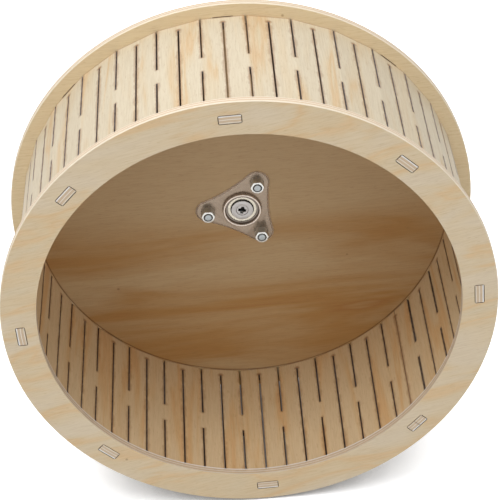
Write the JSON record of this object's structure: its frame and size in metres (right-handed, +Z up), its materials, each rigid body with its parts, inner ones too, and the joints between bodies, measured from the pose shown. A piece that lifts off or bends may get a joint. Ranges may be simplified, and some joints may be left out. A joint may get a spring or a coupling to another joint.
{
  "type": "rodent exercise wheel",
  "caption": "Plywood exercise wheel for small rodents: a slotted running drum with a closed back, turning on a ball-bearing hub with a rear stud.",
  "frame": {"origin": "on the spin axis, in the plane of the wall or stand that the axle's washer bears on", "axes": "+Y along the axle to the back, out of the stud's free end; the open side faces -Y; +Z up; +X to the right seen from the open side"},
  "size_m": [0.3, 0.1565, 0.3],
  "materials": {
    "plywood_face": "bare sanded plywood",
    "plywood_strip": "bare sanded plywood, laser cut",
    "pressed_steel": "zinc plated, polished",
    "zinc_steel": "bright zinc plate",
    "bearing_steel": "ground",
    "shield_steel": "bright pressed",
    "nylon": "moulded"
  },
  "bodies": {
    "axle": {"axle": "zinc_steel", "axle_screw": "zinc_steel", "retaining_washer": "zinc_steel", "bearing_inner_race": "bearing_steel", "wall_washer": "zinc_steel"},
    "wheel": {"front_ring": "plywood_face", "running_strip": "plywood_strip", "back_disc": "plywood_face", "flange_plate": "pressed_steel", "bearing_cup": "pressed_steel", "bearing_outer_race": "bearing_steel", "front_shield": "shield_steel", "rear_shield": "shield_steel", "clamp_bolt_1": "zinc_steel", "bolt_washer_1": "zinc_steel", "lock_nut_1": "zinc_steel", "nut_insert_1": "nylon", "clamp_bolt_2": "zinc_steel", "bolt_washer_2": "zinc_steel", "lock_nut_2": "zinc_steel", "nut_insert_2": "nylon", "clamp_bolt_3": "zinc_steel", "bolt_washer_3": "zinc_steel", "lock_nut_3": "zinc_steel", "nut_insert_3": "nylon"},
    "ball_set": {"bearing_balls": "bearing_steel", "bearing_cage": "nylon"}
  },
  "joints": [
    {"name": "wheel_spin", "type": "hinge", "parent": "axle", "child": "wheel", "pos_m": [0, 0, 0], "axis": [0, -1, 0], "continuous": true},
    {"name": "ball_orbit", "type": "hinge", "parent": "axle", "child": "ball_set", "pos_m": [0, 0, 0], "axis": [0, -1, 0], "continuous": true}
  ],
  "couplings": [
    {"joint": "ball_orbit", "follows": "wheel_spin", "ratio": 0.6323}
  ]
}
